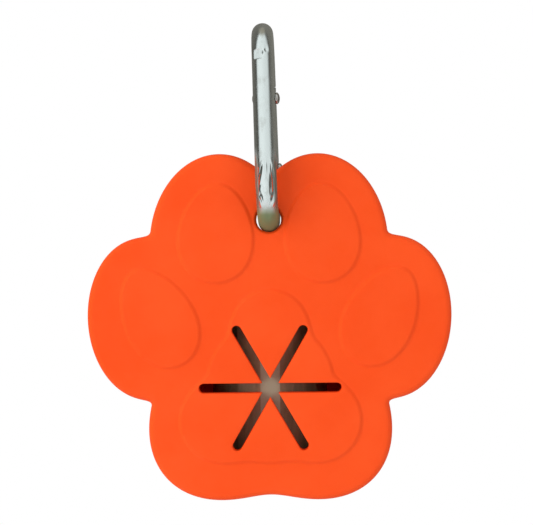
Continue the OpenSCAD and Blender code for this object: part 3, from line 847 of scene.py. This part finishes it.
def film_flap(material):
    """The first bag's folded end, lying on the roll behind the star, with a torn free edge that
    curls up a little."""
    dice = random.Random(SEED + 1)
    waves = [(dice.uniform(4, 16), dice.uniform(0, 6.28), dice.uniform(-0.15, 0.15),
              dice.uniform(0.02, 0.06)) for _ in range(9)]
    s = Surface()
    low, high = math.radians(-90 - 32), math.radians(-90 + 48)
    across, along = 72, 80
    half = ROLL_L / 2 - 1
    thick, clear = 0.3, 0.16
    torn, torn_by = 0.9, math.radians(0.35)
    curled, curled_by = 0.82, 0.25

    def skin(u, v, lift):
        tear = torn_by * max(0, (u - torn) / (1 - torn)) * math.sin(v * 190)
        a = low + (high - low) * u + tear
        z = -half + 2 * half * v
        ripple = sum(w * math.sin(n * a * 2 + p + t * z) for n, p, t, w in waves)
        curl = curled_by * max(0, (u - curled) / (1 - curled)) ** 2
        r = ROLL_R + clear + lift + 0.5 * (ripple + 0.2) * (0.35 + lift) + curl
        return (r * math.cos(a), r * math.sin(a), z)

    def rows(lift):
        return [s.loop([skin(i / across, k / along, lift) for i in range(across + 1)])
                for k in range(along + 1)]

    top, under = rows(thick), rows(0.0)
    for side in (top, under):
        for a, b in zip(side, side[1:]):
            s.bridge(a, b, closed=False)
    for end in (0, -1):
        s.bridge(top[end], under[end], closed=False)
        s.bridge([row[end] for row in top], [row[end] for row in under], closed=False)
    return s.piece("film_flap", material, IN_ROLL)


def card_core(material):
    """The wound card tube, with the fine groove of its spiral seam inside and out."""
    s = Surface()
    angles = turn_angles(96)
    half = ROLL_L / 2
    lead, seam_deep, seam_sharp = 26, 0.07, 60

    def seam(a, z):
        t = (z / lead - a / (2 * math.pi)) % 1
        return seam_deep * math.exp(-(min(t, 1 - t) * seam_sharp) ** 2)

    def ring(r, outwards, z):
        reach = [r + outwards * seam(a, z) for a in angles]
        return [(d * math.sin(a), d * math.cos(a), z) for d, a in zip(reach, angles)]

    zs = [-half + ROLL_L * k / 160 for k in range(161)]
    rings = [ring(CORE_R - 0.02, -1, z) for z in zs]
    rings += [ring(CORE_R - CORE_T, 1, z) for z in reversed(zs)]
    loops = s.loft(rings)
    s.bridge(loops[-1], loops[0])
    return s.piece("card_core", material, IN_ROLL)


# ---------------------------------------------------------------- the snap hook

# Rows along the wire, which lie closer where the front strand is marked, and points round it.
PIVOT_ROWS = 16
LOOP_ROWS = 44
MARKED_RUN = 2.8
MARKED_ROWS = 26
STRAND_ROWS = 46
BEND_ROWS = 64
WIRE_SIDES = 88

# Marks on the front of the wire, in the ring's own heights. A pit is a row of (depth, side, width,
# height, length), where side is the sine of the angle round the wire.
NICK_TILT = math.radians(-25)
NICK_FLAT = 0.87
NICK_LOW = -5.1
NICK_HIGH = -2.5
TOOL_PITS = ((0.34, 0.40, 0.14, -2.8, 0.5), (0.40, 0.03, 0.13, -3.3, 0.8))
DENTS = ((0.18, 0.26, 0.17, -32.2, 2.4), (0.20, 0.06, 0.22, -41.3, 1.1))
DENTS_BEFORE_Y = -4
FLATS_DEEP = 0.06
FLATS_Z = -35
FLATS_LONG = 4.5


def ring_path():
    """The wire's middle line as rows of (y, z, outward angle), from the gate's pivot to the nose."""
    c, n = math.cos(STRAND_LEAN), math.sin(STRAND_LEAN)
    rows = []
    for k in range(PIVOT_ROWS):
        left = PIVOT_RUN - PIVOT_RUN * k / PIVOT_ROWS
        rows.append((LOOP_R * c + left * n, LOOP_Z + LOOP_R * n - left * c, STRAND_LEAN))
    for k in range(LOOP_ROWS):
        a = STRAND_LEAN + (math.pi - 2 * STRAND_LEAN) * k / LOOP_ROWS
        rows.append((LOOP_R * math.cos(a), LOOP_Z + LOOP_R * math.sin(a), a))
    runs = [MARKED_RUN * k / MARKED_ROWS for k in range(MARKED_ROWS)]
    runs += [MARKED_RUN + (STRAND_L - MARKED_RUN) * k / STRAND_ROWS for k in range(STRAND_ROWS)]
    a = math.pi - STRAND_LEAN
    for run in runs:
        rows.append((LOOP_R * math.cos(a) - run * n, LOOP_Z + LOOP_R * math.sin(a) - run * c, a))
    for k in range(BEND_ROWS + 1):
        a = math.pi - STRAND_LEAN + (math.pi + 2 * STRAND_LEAN) * k / BEND_ROWS
        rows.append((BEND_R * math.cos(a), BEND_Z + BEND_R * math.sin(a), a))
    return rows


def wire_wear(y, z, side, front):
    """How far the wire's surface stands in from round: a flat nick and two pits that the bender's
    tool left near the top, two dents lower down, and shallow flats from the mandrel on the bend."""
    front = max(0, front)
    facing = front * math.cos(NICK_TILT) + side * math.sin(NICK_TILT)
    nick = max(0, 1 - NICK_FLAT / max(0.5, facing)) * WIRE_R
    nick *= eased((z - NICK_LOW) / 0.2) * eased((NICK_HIGH - z) / 0.3)
    pits = 0
    for deep, at, wide, level, long in TOOL_PITS + (DENTS if y < DENTS_BEFORE_Y else ()):
        pits += deep * math.exp(-((side - at) / wide) ** 2 - ((z - level) / long) ** 2)
    low = math.exp(-((z - FLATS_Z) / FLATS_LONG) ** 2) * front * FLATS_DEEP
    flats = low * (0.5 + 0.5 * math.sin(side * 7 + z * 0.55) * math.sin(z * 1.1 + side * 3))
    sway = 0.004 * math.sin(z * 0.9 + side * 2.3) + 0.003 * math.sin(z * 0.37 - side * 4.1)
    return nick + pits * front + flats + sway


def plate(outline, half_t, matrix, name, material, edge=0.08):
    """A flat plate with slightly broken edges, its outline in local Y and Z, its thickness along X."""
    s = Surface()
    rings = ((-half_t, edge), (edge - half_t, 0), (half_t - edge, 0), (half_t, edge))
    loops = s.loft([[(x, p[0], p[1]) for p in inset(np.array(outline), d)] for x, d in rings])
    s.cap(loops[0])
    s.cap(loops[-1])
    return s.piece(name, material, matrix)


def tongue_outline():
    """The tongue between the gate's forks: a neck up into the wire and a cam below the pivot."""
    r = FORK_R - 0.15
    low = math.asin(CAM_DROP / r)
    arc = [(r * math.cos(a), r * math.sin(a)) for a in np.linspace(math.acos(TIP_HALF / r) + 0.1, -low, 14)]
    right = [(TIP_HALF, 5.4), (TIP_HALF, 1.2)]
    left = [(-y, z) for y, z in reversed(right + arc)]
    return right + arc + left


def nose_outline():
    """The nose that the gate closes on, with a round notch for the latch pin."""
    soft = 0.5
    top = NOSE_REACH - GATE_RUN
    foot = -GATE_REACH - 0.5
    outline = [(-TIP_HALF, foot), (-TIP_HALF, -GATE_RUN - NOTCH_R)]
    outline += [(NOTCH_R * math.cos(a), NOTCH_R * math.sin(a) - GATE_RUN)
                for a in np.linspace(-math.pi / 2, math.pi / 2, 14)]
    outline += [(-TIP_HALF, NOTCH_R - GATE_RUN)]
    outline += [(-TIP_HALF + soft - soft * math.cos(a), top - soft + soft * math.sin(a))
                for a in quarter(4)]
    outline += [(TIP_HALF - soft + soft * math.sin(a), top - soft + soft * math.cos(a))
                for a in quarter(4)]
    outline += [(TIP_HALF, foot)]
    return outline


def hook_wire(material):
    s = Surface()
    angles = turn_angles(WIRE_SIDES)
    rings = []
    for y, z, a in ring_path():
        ring = []
        for q in angles:
            side, out = math.sin(q), math.cos(q)
            r = WIRE_R - wire_wear(y, z, side, -math.cos(a) * out)
            ring.append((r * side, y + r * out * math.cos(a), z + r * out * math.sin(a)))
        rings.append(ring)
    soft = 0.3
    for turn in quarter(4)[1:]:
        run, r = soft * math.sin(turn) - soft, WIRE_R - soft * (1 - math.cos(turn))
        cy, cz = y - run * math.sin(a), z + run * math.cos(a)
        rings.append([(r * math.sin(q), cy + r * math.cos(q) * math.cos(a),
                       cz + r * math.cos(q) * math.sin(a)) for q in angles])
    loops = s.loft(rings)
    s.cap(loops[0])
    s.cap(loops[-1])
    wire = s.piece("hook_wire", material, IN_RING)
    across = IN_GATE @ Matrix.Rotation(math.pi / 2, 4, "Y")
    cutter_r, cutter_half = FORK_R + END_GAP, 4
    hollow = [(0, -cutter_half), (cutter_r, -cutter_half), (cutter_r, cutter_half), (0, cutter_half)]
    boolean(wire, spun(hollow, 96, "cutter", material, across), "DIFFERENCE")
    boolean(wire, plate(tongue_outline(), TONGUE_T / 2, IN_GATE, "tongue", material), "UNION")
    boolean(wire, plate(nose_outline(), NOSE_T / 2, IN_GATE, "nose", material), "UNION")
    finish_mesh(wire, 30)
    return wire


def rivet(name, material, shank_r, head_r, drop):
    """A headed pin across the wire, its two heads domed by the riveting tool."""
    seat = WIRE_R - 0.2
    tall, rim, chamfer = 1.1, 0.35, 0.06
    head = [(head_r * 0.98, seat), (head_r, seat + chamfer), (head_r, seat + rim)]
    head += [(head_r * math.cos(a), seat + rim + (tall - rim) * math.sin(a)) for a in quarter(7)[1:]]
    head[-1] = (0, seat + tall)
    half = [(shank_r, 0.0), (shank_r, seat)] + head
    profile = [(r, -z) for r, z in reversed(half)] + half[1:]
    across = IN_GATE @ Matrix.Translation((0, 0, -drop)) @ Matrix.Rotation(math.pi / 2, 4, "Y")
    return spun(profile, 48, name, material, across)


def plunger_rod(material):
    r, top, long, soft, dome = 1.1, -2.05, 3, 0.2, 0.35
    profile = [(0, top - long)]
    profile += [(r - soft + soft * math.sin(a), top - long + soft - soft * math.cos(a)) for a in quarter(4)]
    profile += [(r * math.cos(a), top - dome + dome * math.sin(a)) for a in quarter(5)]
    profile[-1] = (0, top)
    return spun(profile, 40, "plunger_rod", material, IN_GATE)


def gate_coil(material):
    """The gate's spring, one unbroken helix."""
    coil_r, wire_r, curls, per_curl = 0.875, 0.175, 7, 30
    pitch = (SPRING_L - 2 * wire_r) / curls
    climb = math.atan(pitch / (2 * math.pi * coil_r))
    angles = turn_angles(12)
    s = Surface()
    rings = []
    for i in range(curls * per_curl + 1):
        a = 2 * math.pi * i / per_curl
        out = Vector((math.cos(a), math.sin(a), 0))
        up = Vector((-math.sin(a) * math.sin(climb), math.cos(a) * math.sin(climb), math.cos(climb)))
        middle = out * coil_r + Vector((0, 0, -SPRING_TOP - wire_r - pitch * i / per_curl))
        rings.append([middle + wire_r * (math.cos(q) * out + math.sin(q) * up) for q in angles])
    loops = s.loft(rings)
    s.cap(loops[0])
    s.cap(loops[-1])
    return s.piece("gate_coil", material, IN_GATE)


# ---------------------------------------------------------------- stage

FLOOR_Z = -200
FLOOR_FADE = (120, 340)

# What glossy rays meet round the object, as rows of (azimuth in degrees from the front, level),
# with a tint for the dim part and one for the bright arc, and what they meet overhead.
SHINE = ((-180, 0.2), (-110, 0.15), (-74, 0.07), (-60, 1.0), (-20, 1.0), (54, 0.8), (74, 0.09),
         (110, 0.2), (180, 0.22))
SHINE_DIM = (1, 0.92, 0.8)
SHINE_BRIGHT = (0.98, 1, 1)
OVERHEAD = (0.36, 0.32, 0.26)
OVERHEAD_FROM = 0.88
OVERHEAD_FULL = 0.99
SOFT_LIGHT = (0.98, 0.99, 1.0, 1)
SOFT_STRENGTH = 0.63
WHITE = (1, 1, 1, 1)

# The point near the paw's middle that the lamps look at.
AIM = Vector((0, 0, -65)) * MM


def studio_floor():
    """A round pale floor that fades out towards its rim."""
    s = Surface()
    rings = [s.loop([(x, y, 0) for x, y in circle(r)]) for r in (40, 120, 200, 280, 350)]
    for a, b in zip(rings, rings[1:]):
        s.bridge(a, b)
    s.cap(rings[0])
    f = Finish("pale_floor")
    grain = f.spread(f.noise(0.05, 3, 0.5), 0.3, 0.7)
    away = f.new("VectorMath", {0: f.millimetres((1, 1, 0))}, "LENGTH").outputs["Value"]
    f.set(Base_Color=f.mix(grain, (0.90, 0.90, 0.90), (0.93, 0.93, 0.93)), Roughness=0.9,
          Alpha=f.spread(away, *FLOOR_FADE, 1, 0))
    floor = s.piece("studio_floor", f.material, Matrix.Translation((0, 0, FLOOR_Z)))


def shine_colour(n):
    """What a glossy ray meets: a bright arc in front of the object, and dim sides, back and top."""
    way = n.new("SeparateXYZ", {"Vector": n.new("TexCoord", {}).outputs["Generated"]}).outputs
    azimuth = n.calc("ARCTAN2", way["X"], n.times(way["Y"], -1))
    share = n.new("MapRange", {"Value": azimuth, "From Min": -math.pi, "From Max": math.pi})
    ramp = n.new("ValToRGB", {"Fac": share.outputs["Result"]})
    while len(ramp.color_ramp.elements) < len(SHINE):
        ramp.color_ramp.elements.new(0.5)
    for stop, (degrees, level) in zip(ramp.color_ramp.elements, SHINE):
        stop.position = (degrees + 180) / 360
        stop.color = [level * part for part in (SHINE_DIM if level < 0.5 else SHINE_BRIGHT)] + [1]
    overhead = n.spread(way["Z"], OVERHEAD_FROM, OVERHEAD_FULL)
    return n.mix(overhead, ramp.outputs["Color"], OVERHEAD)


def world_light():
    """White for camera and transmission rays, the shine's colours for glossy rays, and an even
    soft light for everything else."""
    world = bpy.data.worlds.new("studio")
    bpy.context.scene.world = world
    world.use_nodes = True
    n = Nodes(world.node_tree)

    def background(**inputs):
        return n.new("Background", inputs).outputs["Background"]

    def choose(factor, a, b):
        return n.new("MixShader", {0: factor, 1: a, 2: b}).outputs["Shader"]

    ray = n.new("LightPath", {}).outputs
    seen = n.calc("MAXIMUM", ray["Is Camera Ray"], ray["Is Transmission Ray"])
    soft = background(Color=SOFT_LIGHT, Strength=SOFT_STRENGTH)
    lit = choose(ray["Is Glossy Ray"], soft, background(Color=shine_colour(n)))
    n.new("OutputWorld", {"Surface": choose(seen, lit, background(Color=WHITE))})


def softbox(name, direction, distance, size, power):
    """A square area lamp, in metres and watts, that doesn't show in reflections."""
    lamp = bpy.data.lights.new(name, "AREA")
    lamp.shape = "SQUARE"
    lamp.size = size
    lamp.energy = power
    obj = bpy.data.objects.new(name, lamp)
    bpy.context.scene.collection.objects.link(obj)
    back = Vector(direction).normalized()
    obj.location = AIM + back * distance
    obj.rotation_euler = back.to_track_quat("Z", "Y").to_euler()
    obj.visible_glossy = False


def photo_camera():
    """A camera that looks straight along +Y, with a slight roll."""
    data = bpy.data.cameras.new("photo_camera")
    data.sensor_width = SENSOR_W
    data.lens = SENSOR_W * CAMERA_GAP / VIEW_W
    data.clip_start = 0.01
    data.clip_end = 10
    camera = bpy.data.objects.new("photo_camera", data)
    bpy.context.scene.collection.objects.link(camera)
    away = Vector((-CAMERA_LEFT, -HALF - CAMERA_GAP, -CAMERA_DROP))
    camera.location = (PAW_AT + away) * MM
    camera.rotation_euler = (math.radians(90), math.radians(CAMERA_ROLL), 0)
    bpy.context.scene.camera = camera


# ---------------------------------------------------------------- the scene

photo_camera()
world_light()
softbox("key_left", (-0.80, -0.52, 0.30), 0.85, 1.05, 6.9)
softbox("fill_right", (0.6, -0.7, 0.25), 0.9, 0.6, 0.9)
studio_floor()

thick_orange = silicone("silicone_thick", 0.1, 1.5)
thin_orange = silicone("silicone_thin", 0.25, 3)
film = bag_film()
card = core_card()
plated = plated_steel()
pins = pin_steel()
spring = spring_steel()

MADE = (
    (paw_shell(thick_orange), "paw", "front_shell", "silicone"),
    (pouch_shell(thin_orange), "pouch", "rear_pouch", "silicone"),
    (film_roll(film), "roll", "bag_roll", "bag_film"),
    (film_flap(film), "roll", "leading_bag", "bag_film"),
    (card_core(card), "roll", "roll_core", "core_card"),
    (hook_wire(plated), "hook", "hook_body", "plated_steel"),
    (rivet("pivot_rivet", pins, 0.8, 1.5, 0), "hook", "gate_rivet", "pin_steel"),
    (rivet("latch_rivet", pins, 0.6, 1.1, GATE_RUN), "gate_arm", "latch_pin", "pin_steel"),
    (plunger_rod(pins), "plunger", "gate_plunger", "pin_steel"),
    (gate_coil(spring), "gate_arm", "gate_spring", "spring_steel"),
)
for piece, body, node, slot in MADE:
    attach(piece, body)
    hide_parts(node)
gate_finish = frame["nodes"]["gate"].data.materials
gate_finish.clear()
gate_finish.append(plated)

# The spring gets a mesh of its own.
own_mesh(bpy.data.objects["gate_coil"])

bpy.context.scene.view_settings.view_transform = "Standard"
bpy.context.view_layer.update()
